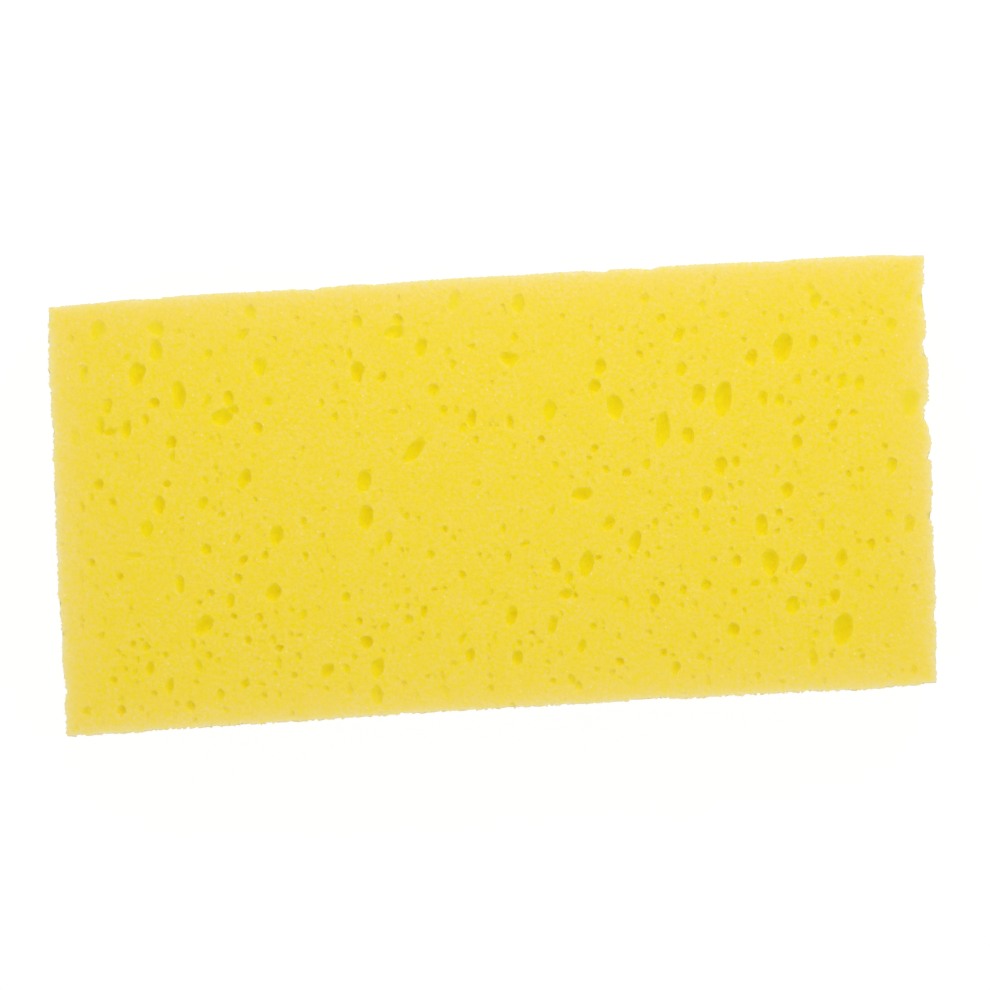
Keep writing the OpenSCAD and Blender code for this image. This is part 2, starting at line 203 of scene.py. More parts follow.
# The middling cells between them, too small for the CAD solid, in the same terms
MIDDLING_CELLS = (
    (-38, 31.5, 2, 2.3, 0, GRAZED), (-47, 28.5, 0.7, 1.2), (-57.5, 26, 1.4, 1.6, 90, GRAZED),
    (-45, 25.5, 1.4, 2, 0, SHALLOW), (-42, 26, 1.2, 2.2, 0, GRAZED), (-43.5, 21, 1.1, 1.4, 0, SHALLOW),
    (-54, 18, 1.8, 1.8), (-45.5, 18, 1.1, 3, 25, SHALLOW), (-41, 16.5, 1.6, 1.8, 90), (-61, 14, 1.5, 2, 90),
    (-55.5, 15.5, 1.5, 1.8), (-67, 13.5, 1.4, 2.8, 10, GRAZED), (-51.5, 16, 0.9, 2, 0, GRAZED),
    (-45, 12, 1.1, 1.3, 90, SHALLOW), (-35.5, 17.5, 1.5, 2, 90, SHALLOW), (-47.5, 25.5, 0.9, 2, 0, GRAZED),
    (-67, 29, 1.2, 1.6, 0, GRAZED), (-31, 32.5, 1.1, 1.4, 90, GRAZED), (-27.5, 29.5, 1, 1.2, 90, SHALLOW),
    (-23, 29, 1.2, 1.4, 0, GRAZED), (-24.5, 31, 1.4, 1.8, 0, GRAZED), (-14, 29, 1.6, 2),
    (-9.5, 28, 1.1, 1.2, 0, SHALLOW), (-7, 29.5, 1.4, 2.6, 20, GRAZED), (-34, 27, 0.9, 1.2, 0, SHALLOW),
    (-26, 25.5, 1.2, 1.2, 0, SHALLOW), (-23.5, 25, 1.1, 1.1, 0, SHALLOW), (-22, 24, 1.1, 2.2),
    (-6.5, 23.5, 1.2, 2, 30, SHALLOW), (-5.5, 21.5, 1.2, 1.7, 35), (-2.5, 24, 1.4, 1.4, 0, SHALLOW),
    (-27, 16.5, 1.1, 1.7), (-23.5, 16.5, 1, 1.6, 90, SHALLOW), (-25, 14, 1.3, 1.4),
    (-21.5, 14, 0.9, 1.8, 20, SHALLOW), (-15.5, 14.5, 1.2, 1.5, 90, SHALLOW), (-7.5, 14, 1.3, 1.9),
    (-5.5, 14, 1.1, 1.6, 0, SHALLOW), (-4.5, 11, 1.6, 1.8, 0, SHALLOW), (-29, 23, 1.2, 1.2, 0, GRAZED),
    (-24.5, 19, 1.1, 1.6, 0, SHALLOW), (-25, 22.5, 0.9, 1.5, 0, SHALLOW), (-35, 22.5, 1.3, 1.5, 90, GRAZED),
    (-2, 27, 1.2, 1.4, 90, GRAZED), (15.5, 32, 1.2, 2, 30, GRAZED), (26, 30.5, 1.6, 1.7, 90, SHALLOW),
    (8.5, 26.5, 0.9, 1.2, 0, GRAZED), (28.5, 27, 1.4, 1.6, 90), (35, 28.5, 1.2, 1.8, 0, SHALLOW), (17, 26, 1, 1.1),
    (22, 25.5, 1.1, 1.2, 90), (4.5, 25, 1.3, 1.9), (18, 24, 1, 1.2), (25, 24.5, 1, 1), (26.5, 22.5, 1.1, 1.4),
    (33.5, 24.5, 0.9, 1.8, 20, SHALLOW), (24.5, 21, 1.3, 1.5, 0, SHALLOW), (22, 19, 0.9, 2, 0, GRAZED),
    (26.5, 16, 1, 1.3, 0, SHALLOW), (13.5, 16, 1.2, 1.3, 90, SHALLOW), (3, 11.5, 1.4, 2.4),
    (1, 11, 0.9, 1.1, 0, SHALLOW), (35, 31, 1.2, 1.4, 0, GRAZED), (52, 30, 1.9, 2.3, 15, GRAZED),
    (49.5, 30.5, 1, 1.5, 0, GRAZED), (55, 27.5, 1, 1), (56, 26, 2, 2.2, 0, GRAZED), (63, 31, 1, 2, 0, GRAZED),
    (45, 26.5, 0.9, 1.3), (51, 26.5, 0.9, 1.4, 20, SHALLOW), (38.5, 27, 1.2, 1.6, 50, SHALLOW),
    (63.5, 25.5, 1.2, 1.5, 0, SHALLOW), (61, 24, 1.1, 1.1), (49, 25, 0.8, 1.4, 0, SHALLOW),
    (47.5, 25.5, 1.1, 1.6, 0, SHALLOW), (41.5, 22.5, 1.1, 1.1), (56.5, 22.5, 0.9, 1.8, 0, SHALLOW),
    (56, 20, 1.1, 1.9, 25, SHALLOW), (63.5, 19, 0.9, 1.8, 0, SHALLOW), (52.5, 16.5, 0.9, 1.6, 45),
    (49.5, 15.5, 1.5, 2, 0, SHALLOW), (54.5, 15.5, 1, 1.5, 40), (61, 18, 0.8, 0.8), (-60.5, 10, 1.1, 1.4),
    (-51.5, 9.5, 1, 2.4, 20, SHALLOW), (-63.5, 10, 0.9, 1.6, 0, SHALLOW), (-57, 9, 0.7, 2, 5, SHALLOW),
    (-58.5, 7, 1.4, 2.4, 15, GRAZED), (-65, 3.5, 1.2, 1.5, 0, SHALLOW), (-66.5, 2, 1, 2, 5, SHALLOW),
    (-61.5, 2.5, 1.4, 1.5), (-52.5, 5, 1.2, 1.5, 80, DEEP), (-44.5, 7, 0.9, 1.3), (-46.5, 5, 1.1, 1.5, 0, SHALLOW),
    (-44.5, 5, 0.8, 1.1), (-45.5, 0.5, 1, 1.2, 0, SHALLOW), (-44, -0.5, 1.3, 1.3), (-38.5, 1.5, 1, 1.2),
    (-42, -4.5, 1.1, 1.8, 25), (-58, -6, 1.2, 3.4, 95, SHALLOW), (-65.5, -7, 1.2, 1.4),
    (-61, -9.5, 1.4, 1.4, 0, DEEP), (-52.5, -7.5, 1.1, 1.5, 0, SHALLOW), (-41, -8, 1.4, 1.8, 30, DEEP),
    (-37.5, -7.5, 1.3, 1.5, 15, DEEP), (-67.5, -9, 1.2, 2.6, 0, GRAZED), (-65, -11, 1, 1.3, 0, SHALLOW),
    (-42, -11, 1.4, 1.7, 0, DEEP), (-67.5, -1, 1, 1.2, 0, SHALLOW), (-41, -1, 0.8, 1.2, 0, SHALLOW),
    (-38.5, -3, 1, 1.4, 0, SHALLOW), (-38.5, 8.5, 1, 1.5, 0, SHALLOW), (-20, 5, 0.8, 0.8),
    (-2.5, 9, 1, 1.3, 0, DEEP), (-31, -2.5, 1.1, 1.5), (-27.5, -0.5, 1, 1.1, 90), (-14.5, -2.5, 1.2, 1.2),
    (-12.5, -3, 0.9, 0.9), (-3, 2, 1.2, 1.6, 0, SHALLOW), (-1, 0.5, 0.7, 0.9, 90), (-28, -5, 0.9, 1.4),
    (-19, -7, 1.1, 1.8, 30, SHALLOW), (-15.5, -8, 0.9, 1), (-8.5, -5, 1.2, 1.2), (-6, -5.5, 0.8, 0.8),
    (-7, -6.5, 1, 1.3), (-31, -8, 1.2, 1.5), (-26.5, -8.5, 0.9, 1.1, 0, SHALLOW), (-11, -9, 1.6, 1.7),
    (-3, -9.5, 0.9, 1.1), (-18, -10, 0.8, 0.9, 90), (-28.5, -10.5, 0.8, 1.3), (-6, -12.5, 1.3, 1.4, 0, DEEP),
    (-8, 8.5, 1, 1.3, 0, SHALLOW), (8, 8.5, 1.4, 1.4, 0, DEEP), (3.5, 7.5, 0.9, 1.2, 0, DEEP), (6.5, 7, 0.8, 1.2),
    (16.5, 6.5, 1.3, 1.4, 0, DEEP), (15.5, 5, 0.9, 0.9, 0, DEEP), (10, 4, 1.1, 1.6), (3, 2.5, 0.9, 1.2),
    (15, 2.5, 0.9, 1.1), (18, 3, 1.3, 1.6), (21.5, 2.5, 1.4, 1.5, 90, DEEP), (24.5, 3.5, 1.4, 2, 10),
    (30.5, 4.5, 0.8, 0.8, 0, SHALLOW), (7.5, 1.5, 0.9, 1), (27.5, 1, 0.8, 1.6, 30, SHALLOW), (25, -1, 0.8, 1, 90),
    (9, -3, 1.1, 1.8, 15), (28, -3.5, 0.9, 0.9), (32, -5, 1.4, 1.9), (1, -5.5, 1.1, 1.8, 15),
    (20, -7, 0.8, 1.2, 0, DEEP), (25.5, -6, 1.2, 1.7, 20), (29, -5.5, 0.8, 0.8), (28, -6.5, 0.9, 0.9),
    (33.5, -7.5, 1.2, 1.8, 30), (4.5, -8, 1.1, 1.7, 70), (21, -11.5, 1, 1.2), (1.5, -10, 1.2, 2),
    (7.5, -9.5, 0.7, 1.4, 0, SHALLOW), (19.5, -10, 1, 1.2, 90), (24, -11, 1, 1.2, 0, DEEP),
    (26, -10, 1, 1.2, 90, DEEP), (16, -11, 1.2, 1.2, 0, DEEP), (26, 10.5, 0.8, 0.8), (56, 10, 1.2, 1.3, 90, DEEP),
    (58.5, 10, 1.3, 1.5, 90), (54, 6.5, 0.9, 0.9, 0, SHALLOW), (55, 5.5, 0.9, 1.1), (41, 7.5, 1, 1.2, 90, SHALLOW),
    (40.5, 5.5, 1, 1.1), (45.5, 1.5, 1, 1.5), (49, 0.5, 1, 1.3, 0, SHALLOW), (63, 4, 1.2, 1.2),
    (59, 0.5, 1.2, 1.2, 0, DEEP), (57, 0, 1.1, 1.4, 0, DEEP), (38, -1, 0.9, 1.4), (39.5, -0.5, 1.2, 1.2),
    (43.5, -2.5, 1.4, 1.4, 0, GRAZED), (37, -2.5, 1, 1.3, 90, SHALLOW), (57.5, -2.5, 1.3, 1.6, 0, SHALLOW),
    (59, -2.5, 0.8, 1.3), (52.5, -3, 0.9, 1.2, 90), (38.5, -4.5, 0.8, 1, 0, DEEP), (45.5, -5.5, 1.4, 1.4, 0, DEEP),
    (38, -6.5, 1.2, 1.5), (47, -7, 1.1, 1.1), (45, -8.5, 0.9, 0.9), (52, -8, 1.3, 2), (63, -7, 1.4, 1.9),
    (55.5, -8.5, 0.8, 1.5), (57.5, -9.5, 0.9, 0.9), (51, -9.5, 0.8, 1.4, 0, SHALLOW), (60, -11.5, 1.3, 2, 0, DEEP),
    (58, -11, 1, 1.3), (62.5, -11, 1, 1.4), (37.5, -11, 0.8, 1.1), (-46.5, -13, 1.2, 1.2, 0, DEEP),
    (-48.5, -14.5, 1.1, 1.1), (-53.5, -13.5, 0.9, 1.2), (-43, -17, 1.1, 1.1, 0, DEEP), (-39, -17.5, 1.4, 1.5),
    (-38.5, -19, 1.3, 1.3, 0, SHALLOW), (-44.5, -20, 1.1, 1.1), (-41, -21, 1.2, 1.5, 0, DEEP), (-37, -21, 0.9, 1.6),
    (-36, -22.5, 1.3, 1.3, 0, DEEP), (-39.5, -24, 0.9, 1.1, 90), (-47.5, -23, 1.1, 1.4, 0, DEEP),
    (-54.5, -22.5, 1.1, 1.1), (-57.5, -21, 1.3, 1.9, 10), (-59.5, -20.5, 1.1, 1.3), (-62, -21.5, 1, 1),
    (-61, -22, 0.9, 1.2, 90), (-59, -23, 0.9, 1.2), (-61, -24.5, 0.9, 1.1), (-63, -24.5, 1.2, 1.2, 0, SHALLOW),
    (-63, -26, 1.3, 1.5, 45), (-56.5, -28.5, 0.9, 0.9), (-52, -21, 1, 1.4, 0, SHALLOW),
    (-50, -21, 1.2, 1.8, 0, SHALLOW), (-49.5, -24.5, 1.4, 2.2, 0, SHALLOW), (-49.5, -27, 1, 1.1, 90),
    (-58.5, -17.5, 0.9, 1), (-64, -16.5, 0.9, 1.5, 0, SHALLOW), (-67.5, -16, 0.9, 1.3, 0, SHALLOW),
    (-64.5, -18.5, 1.2, 1.4, 90, SHALLOW), (-67.5, -30.5, 1.3, 1.5, 90), (-59, -31, 1, 1.5, 0, SHALLOW),
    (-58, -32, 0.8, 1.4), (-53, -30.5, 0.9, 1.2), (-51, -31, 1.6, 1.9), (-42, -28, 1.4, 1.9),
    (-39, -28, 0.9, 1.5, 90), (-39, -30, 1.2, 1.3), (-36.5, -30, 0.9, 1.4), (-36.5, -25, 1.1, 2.4, 0, SHALLOW),
    (-37, -26.5, 0.9, 1.2), (-45.5, -32, 0.9, 1.6, 0, SHALLOW), (-32, -17.5, 1.2, 1.9, 10),
    (-34, -16.5, 1, 1.5, 0, SHALLOW), (-25, -15, 1.6, 1.8), (-25, -13, 0.9, 1, 90), (-18.5, -13.5, 0.9, 1),
    (-15, -14.5, 1.1, 1.4, 20), (-10.5, -14.5, 0.8, 1, 90), (-9, -14.5, 0.9, 0.9), (-13.5, -16, 0.7, 1.3),
    (-1.5, -15.5, 0.8, 1.2), (-2.5, -17, 1.1, 1.2, 90), (-17, -17, 1.1, 1.5, 20), (-15, -19, 1.4, 1.8, 45),
    (-23, -19, 1.3, 1.5, 0, DEEP), (-21, -19, 0.9, 1.4, 0, SHALLOW), (-20.5, -20, 0.8, 1, 90),
    (-19, -20, 1.3, 1.8, 25), (-13, -21.5, 0.9, 0.9), (-13.5, -22.5, 0.9, 0.9), (-10.5, -22, 1.1, 1.3, 0, SHALLOW),
    (-6.5, -22.5, 1.1, 2.6, 30), (-1.5, -23, 1, 1.8, 0, SHALLOW), (-2.5, -24.5, 0.8, 1.6, 0, SHALLOW),
    (-33, -24, 0.9, 1.2), (-34, -20.5, 0.9, 0.9), (-32.5, -20.5, 0.8, 1.2, 90), (-24, -24.5, 1, 1.3, 25),
    (-19.5, -24, 0.9, 0.9), (-18, -24, 1, 1.1, 0, SHALLOW), (-25.5, -26.5, 1.1, 1.8), (-34, -27, 1.2, 1.2),
    (-8, -26.5, 0.9, 1.4, 90), (-10, -28.5, 0.7, 1.6), (-12.5, -28.5, 0.9, 0.9), (-17.5, -28.5, 0.7, 0.7),
    (-31.5, -29, 0.9, 0.9, 0, SHALLOW), (-29, -29.5, 1.1, 1.1), (-25.5, -30, 1.3, 2.6, 0, GRAZED),
    (-10.5, -31, 1.6, 2, 0, GRAZED), (-2.5, -29, 1.2, 1.4, 0, SHALLOW), (-2.5, -31, 1.1, 1.4),
    (-34.5, -31, 0.8, 1.4, 0, GRAZED), (11, -14, 1.5, 2), (5, -12, 0.9, 1.1), (12, -17, 1.1, 1.5, 0, DEEP),
    (4.5, -22.5, 1, 1), (2.5, -24, 1.2, 1.4), (4.5, -24.5, 0.9, 0.9), (6, -24, 0.8, 1, 90),
    (7.5, -25, 0.8, 1.1, 90), (9, -26, 0.9, 0.9), (7, -27.5, 1, 1.4), (14.5, -22, 1.3, 1.4),
    (16, -22.5, 0.8, 1, 0, SHALLOW), (18.5, -24, 1, 1.4), (17, -24.5, 0.9, 1.1, 0, SHALLOW),
    (14.5, -18, 0.9, 1.3, 0, SHALLOW), (19, -18, 1, 1), (20, -18.5, 1.2, 2.4, -10), (25, -15, 0.9, 0.9),
    (26, -16, 1.1, 1.1, 0, DEEP), (29.5, -17, 1.1, 1.8, 0, DEEP), (33, -16.5, 1.7, 1.9), (34.5, -12.5, 1.2, 1.2),
    (29, -13.5, 1, 1, 0, SHALLOW), (24, -20, 0.8, 1.4), (25, -21.5, 0.9, 0.9, 0, SHALLOW), (29, -19.5, 0.9, 0.9),
    (31, -19.5, 0.9, 1.8, 0, SHALLOW), (34.5, -21.5, 1, 1.3, 90), (23.5, -23.5, 1, 1), (30.5, -24.5, 1, 1.2),
    (34.5, -25.5, 0.7, 0.9, 90), (25.5, -27, 1.3, 1.5), (27, -27.5, 0.9, 0.9), (31.5, -28, 1, 1.6, -20),
    (18.5, -28, 1.4, 1.5, 0, DEEP), (17.5, -29.5, 0.7, 1), (14.5, -29, 1.2, 1.2, 0, SHALLOW),
    (18.5, -30.5, 0.7, 1.1, 90), (7.5, -30.5, 1.2, 1.5), (10.5, -30.5, 1.2, 1.8), (11.5, -31.5, 1.2, 1.7),
    (32.5, -32, 0.9, 2, 0, SHALLOW), (2, -29.5, 1.2, 1.4, 0, GRAZED), (38, -13, 1.7, 2.2), (44, -16.5, 1.4, 1.6),
    (46, -15, 0.7, 1.5), (57.5, -16, 0.9, 1.7, 15), (62.5, -13.5, 0.8, 1.2, 0, SHALLOW), (60.5, -17, 0.9, 1.3),
    (59.5, -18.5, 1, 1), (41, -16.5, 1.4, 1.8, 45), (37.5, -18, 1.1, 1.5, 0, DEEP),
    (49.5, -17.5, 1.1, 1.3, 0, DEEP), (43, -19, 0.9, 1.2), (39, -21, 0.8, 1.2, 0, DEEP),
    (48.5, -20.5, 1, 1.6, 0, SHALLOW), (51.5, -20.5, 1.3, 1.7, 20), (57, -21.5, 0.7, 1.2),
    (59, -21, 0.8, 1.1, 0, SHALLOW), (63.5, -19, 0.9, 1.3), (66.5, -19, 1.1, 1.6), (43.5, -23, 1.2, 2.6, 0, GRAZED),
    (41, -24.5, 1, 1.6, 90), (50, -25.5, 1.3, 1.8, 0, SHALLOW), (51, -23, 1.1, 1.1, 0, SHALLOW),
    (39, -26.5, 1, 1, 0, SHALLOW), (40.5, -28, 0.9, 1.5, 0, SHALLOW), (44.5, -27.5, 0.9, 0.9, 0, DEEP),
    (49.5, -27, 0.9, 1.4), (52.5, -29, 1, 1), (57.5, -29.5, 1, 1), (57, -28.5, 0.8, 0.8), (61.5, -28, 0.9, 0.9),
    (40.5, -31.5, 1.2, 1.4), (51, -33, 0.9, 1.2, 0, SHALLOW), (44.5, -32.5, 0.9, 1.6, 90, SHALLOW),
    (65.5, -32, 1.1, 1.8, 0, SHALLOW), (61.5, -33, 1.1, 1.1, 0, SHALLOW),
)

# Where the saw strayed from a straight cut at the top, as read along each side: the place
# along the side in mm from the middle of the sponge, and how far out the foam stands there
FAR_SIDE = (
    (-70, -0.15), (-66, 0), (-62, 0.1), (-58, 0.3), (-56, 0.35), (-53, 0.2), (-51.7, 0.15), (-51.3, 0.4),
    (-47, 0.5), (-40, 0.45), (-30, 0.4), (-27, 0.15), (-25.5, 0.45), (-20, 0.6), (-17, 0.35), (-14, 0.55),
    (0, 0.65), (6, 0.55), (17, 0.6), (18.5, 0.3), (20, 0.2), (21, 0.55), (24, 0.55), (27.8, 0.15), (28.5, 0.55),
    (38, 0.55), (44, 0.4), (47, 0.3), (48.3, 0.1), (49, 0.3), (52, 0.45), (58, 0.4), (62, 0.3), (66, 0.2),
    (66.8, 0), (71, -0.2),
)
NEAR_SIDE = (
    (-71, 0), (-60, 0.1), (-57, -0.1), (-47, -0.1), (-44, -0.05), (-42.5, -0.3), (-41, -0.05), (-36, -0.15),
    (-20, -0.25), (-17.5, -0.3), (-16.5, -0.65), (-15, -0.35), (-8, -0.3), (8, -0.3), (16, -0.2), (19.5, -0.3),
    (20.5, -0.45), (26, -0.4), (26.7, -0.15), (34, -0.1), (48, 0), (48.7, -0.1), (52, 0.1), (58, 0.2), (62, 0),
    (66, -0.1), (69.5, -0.4),
)
RIGHT_END = (
    (-34.5, 0.1), (-31, 0.05), (-28, 0.25), (-25, 0.3), (-23.7, -0.15), (-22.5, 0.3), (-20, 0.4), (-14, 0.35),
    (-9, 0.3), (-8, -0.05), (-6, 0.35), (-2, 0.45), (1.2, 0.45), (1.8, -0.15), (3, 0.2), (4, 0.5), (6.8, 0.3),
    (7.5, -0.1), (8.3, -0.6), (10.3, -0.3), (11, 0.35), (14, 0.4), (18, 0.4), (18.4, -0.5), (20.3, -0.2), (22, 0.3),
    (26, 0.1), (29, -0.15), (29.8, 0.2), (34.5, 0.3),
)
LEFT_END = (
    (-34.5, 0.25), (-30, 0.35), (-27.5, 0.05), (-24, 0.25), (-22, 0.5), (-20, 0.3), (-16, 0.35), (-12, 0.6),
    (-8, 0.5), (-4, 0.4), (0, 0.5), (4, 0.45), (10, 0.4), (14, 0.2), (20, 0.4), (24, 0.5), (28, 0.3), (32, 0.2),
    (34.5, 0),
)


def linear(hex_colour):
    """An sRGB hex colour as linear red, green, blue and alpha."""
    parts = (int(hex_colour[i:i + 2], 16) / 255 for i in (1, 3, 5))
    return (*(c / 12.92 if c <= 0.04045 else ((c + 0.055) / 1.055) ** 2.4 for c in parts), 1.0)


def add(tree, kind, settings=None, inputs=None, output=0):
    """Adds a shader node with its settings, sets or links its inputs by name or number, and
    returns one of its outputs."""
    node = tree.nodes.new("ShaderNode" + kind)
    for name, value in (settings or {}).items():
        setattr(node, name, value)
    for key, value in (inputs or {}).items():
        if isinstance(value, bpy.types.NodeSocket):
            tree.links.new(value, node.inputs[key])
        else:
            node.inputs[key].default_value = value
    return node.outputs[output] if node.outputs else None


class SpongeBlockSettings(bpy.types.PropertyGroup):
    """How the block was sawn."""
    lean_right: FloatProperty(
        name="Right end leans", description="How far the right end leans out over the width",
        default=1.8 * MM, unit="LENGTH")
    lean_left: FloatProperty(
        name="Left end leans", description="How far the left end leans in over the width",
        default=1.0 * MM, unit="LENGTH")
    facet: FloatProperty(name="Facet", description="Spacing of the block's own mesh", default=3.0 * MM, unit="LENGTH")
    wander: FloatProperty(
        name="Saw wander", description="How far the saw strayed below the top edge", default=0.3 * MM, unit="LENGTH")
    wander_run: FloatProperty(
        name="Wander length", description="Length of one stray of the saw", default=9.0 * MM, unit="LENGTH")
    stray_height: FloatProperty(
        name="Stray height", description="How far down a stray read at the top edge goes",
        default=14.0 * MM, unit="LENGTH")
    stray_width: FloatProperty(
        name="Stray width", description="How far in from a side a stray is felt", default=3.0 * MM, unit="LENGTH")
    fray: FloatProperty(
        name="Fray", description="How far torn cell walls stand out of an edge", default=0.48 * MM, unit="LENGTH")
    fray_step: FloatProperty(
        name="Fray step", description="Distance between the tips of the fray", default=0.3 * MM, unit="LENGTH")


class SpongeCellSettings(bpy.types.PropertyGroup):
    """How the cells are opened, and the scatter of the small ones."""
    finest: FloatProperty(name="Finest", description="Width of the finest cell", default=0.4 * MM, unit="LENGTH")
    fine: FloatProperty(name="Fine", description="Width of the coarsest fine cell", default=0.95 * MM, unit="LENGTH")
    coarse: FloatProperty(
        name="Coarse", description="Width of the coarsest cell of a side or the underside",
        default=3.0 * MM, unit="LENGTH")
    top_pitch: FloatProperty(
        name="Top pitch", description="Distance between fine cells on the top", default=2.3 * MM, unit="LENGTH")
    side_pitch: FloatProperty(
        name="Side pitch", description="Distance between cells on the other faces", default=3.2 * MM, unit="LENGTH")
    floor: FloatProperty(
        name="Cell floor", description="Share of a cell's depth that its thin floor leaves open",
        default=0.47, subtype="FACTOR")
    flare: FloatProperty(
        name="Flare", description="How much wider a cell's rim is than its wall below, as a share",
        default=0.12, subtype="FACTOR")
    torn_back: FloatProperty(
        name="Torn back", description="How much wider a rim is torn than the cell under it",
        default=1.1, subtype="FACTOR")
    ragged: FloatProperty(
        name="Raggedness", description="How far the walls of the cells stray from round",
        default=0.17 * MM, unit="LENGTH")
    seed: IntProperty(name="Seed", description="Choice of the scatter and the rags", default=11)


class SpongeFinishSettings(bpy.types.PropertyGroup):
    """Colours of the foam, in sRGB hex, with its painted sheen, edge glow and glints, and the grain of its finest
    cells.
    """
    foam: StringProperty(name="Foam", description="Dyed foam inside an opened cell", default="#F6E000")
    # The cut colour is partly a painted sheen: the foam with pale light from the cut struts mixed in
    cut: StringProperty(name="Cut foam", description="The same foam where the saw went through it", default="#FADC28")
    # The torn colour also paints the sheen of the sawn face and the glow along its edges
    torn: StringProperty(
        name="Torn walls", description="Thin cell walls that the saw tore, which scatter pale light", default="#F2E6C4")
    # This share also sets how much painted sheen lies on a sawn face
    torn_and_sheen_share: FloatProperty(
        name="Torn share", description="How much of a sawn face the torn walls cover", default=0.055, subtype="FACTOR")
    grain: FloatProperty(name="Grain", description="Width of the finest cells of all", default=0.5 * MM, unit="LENGTH")
    glint: StringProperty(name="Glint", description="A cell window that lies flat to the light", default="#FFF0C8")
    glint_gap: FloatProperty(
        name="Glint gap", description="Distance between the windows, a few of which glint",
        default=1.25 * MM, unit="LENGTH")


class SpongeStageSettings(bpy.types.PropertyGroup):
    """The table, lamps and camera."""
    table: StringProperty(name="Table", description="White table top", default="#F4F4F4")
    view_width: FloatProperty(
        name="View width", description="Width of the picture at the sponge's top", default=159.2 * MM, unit="LENGTH")
    roll: FloatProperty(
        name="Roll", description="How far the camera is turned", default=math.radians(-3.43), subtype="ANGLE")
    lens: FloatProperty(name="Lens", description="Focal length in mm on a 36 mm sensor", default=200.0)
    key: FloatProperty(name="Key light", description="Power of the soft box at the top, in watts", default=0.15)
    side: FloatProperty(name="Side light", description="Power of the soft box on the right, in watts", default=0.12)
    fill: FloatProperty(name="Fill light", description="Strength of the light from all round", default=0.79)


def block_corners(settings):
    """The block's outline at its top, anticlockwise from the near left corner."""
    lo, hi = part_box("sponge")
    return [Vector((lo.x, lo.y)), Vector((hi.x - settings.lean_right, lo.y)),
            Vector((hi.x, hi.y)), Vector((lo.x + settings.lean_left, hi.y))]


def top_shift(settings):
    """How far the middle of the slanted top lies from the middle of the box, in x."""
    return (settings.lean_left - settings.lean_right) / 4


def block_planes(settings):
    """Each sawn face as its outward normal and its distance from the origin along it."""
    lo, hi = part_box("sponge")
    outline = block_corners(settings)
    planes = [(Vector((0, 0, -1)), -lo.z), (Vector((0, 0, 1)), hi.z)]
    for start, end in zip(outline, outline[1:] + outline[:1]):
        along = (end - start).normalized()
        normal = Vector((along.y, -along.x, 0))
        planes.append((normal, normal.xy.dot(start)))
    return planes


def sawn_block(settings):
    """The block before any cell is opened, with its faces split into facets that can bend."""
    lo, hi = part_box("sponge")
    near_left, near_right, far_right, far_left = block_corners(settings)
    counts = [max(2, round(size / settings.facet)) for size in hi - lo]
    bm = bmesh.new()
    for axis in range(3):
        u, v = (axis + 1) % 3, (axis + 2) % 3
        for end in (0.0, 1.0):
            rows = []
            for i in range(counts[u] + 1):
                row = []
                for j in range(counts[v] + 1):
                    share = [0.0, 0.0, 0.0]
                    share[axis], share[u], share[v] = end, i / counts[u], j / counts[v]
                    left = near_left.lerp(far_left, share[1])
                    right = near_right.lerp(far_right, share[1])
                    xy = left.lerp(right, share[0])
                    row.append(bm.verts.new((xy.x, xy.y, lo.z + (hi.z - lo.z) * share[2])))
                rows.append(row)
            for i in range(counts[u]):
                for j in range(counts[v]):
                    corners = [rows[i][j], rows[i + 1][j], rows[i + 1][j + 1], rows[i][j + 1]]
                    bm.faces.new(corners if end else corners[::-1])
    bmesh.ops.remove_doubles(bm, verts=bm.verts, dist=TOUCHING)
    mesh = bpy.data.meshes.new("sponge_block")
    bm.to_mesh(mesh)
    bm.free()
    return bpy.data.objects.new("sponge_foam", mesh)


def face_places(settings):
    """For each sawn face but the top: a matrix with local z outward, and the face's length and width."""
    lo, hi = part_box("sponge")
    size = hi - lo
    middle = (lo + hi) / 2
    outline = block_corners(settings)
    places = [(Matrix.Translation((middle.x, middle.y, lo.z)) @ Matrix.Rotation(math.pi, 4, "X"), size.x, size.y)]
    for start, end in zip(outline, outline[1:] + outline[:1]):
        along = (end - start).normalized().to_3d()
        normal = Vector((along.y, -along.x, 0))
        half = (start + end) / 2
        turn = Matrix((along, Vector((0, 0, 1)), normal)).transposed().to_4x4()
        places.append((Matrix.Translation((half.x, half.y, middle.z)) @ turn, (end - start).length, size.z))
    return places


def cell(place, x, y, width, length, lean, depth, detail):
    """One open cell: where it is, how it is cut, and a ball round it for telling which cells touch."""
    radius = width * (0.25 + depth * depth) / (2 * depth)
    turned = place @ Matrix.Translation((x, y, 0)) @ Matrix.Rotation(-math.radians(lean), 4, "Z")
    return {
        "place": turned @ Matrix.Translation((0, 0, radius - width * depth)),
        "size": (radius, radius * length / width, radius),
        "surface": width * depth / radius - 1,
        "centre": turned.translation,
        "reach": max(width, length) / 2 * max(1.0, 2 * radius / width) * CLEARANCE,
        "detail": detail,
    }


def placed_cells(top, shift, settings):
    """The large and middling cells of the top face, each where it was read."""
    cells = []
    for row in LARGE_CELLS + MIDDLING_CELLS:
        x, y, width, length, lean, depth = row + COMMONEST[len(row) - 4:]
        wide, long = width * settings.torn_back * MM, length * settings.torn_back * MM
        detail = sum(length > step for step in READ_DETAIL)
        cells.append(cell(top, x * MM + shift, y * MM, wide, long, lean, depth * settings.floor, detail))
    return cells


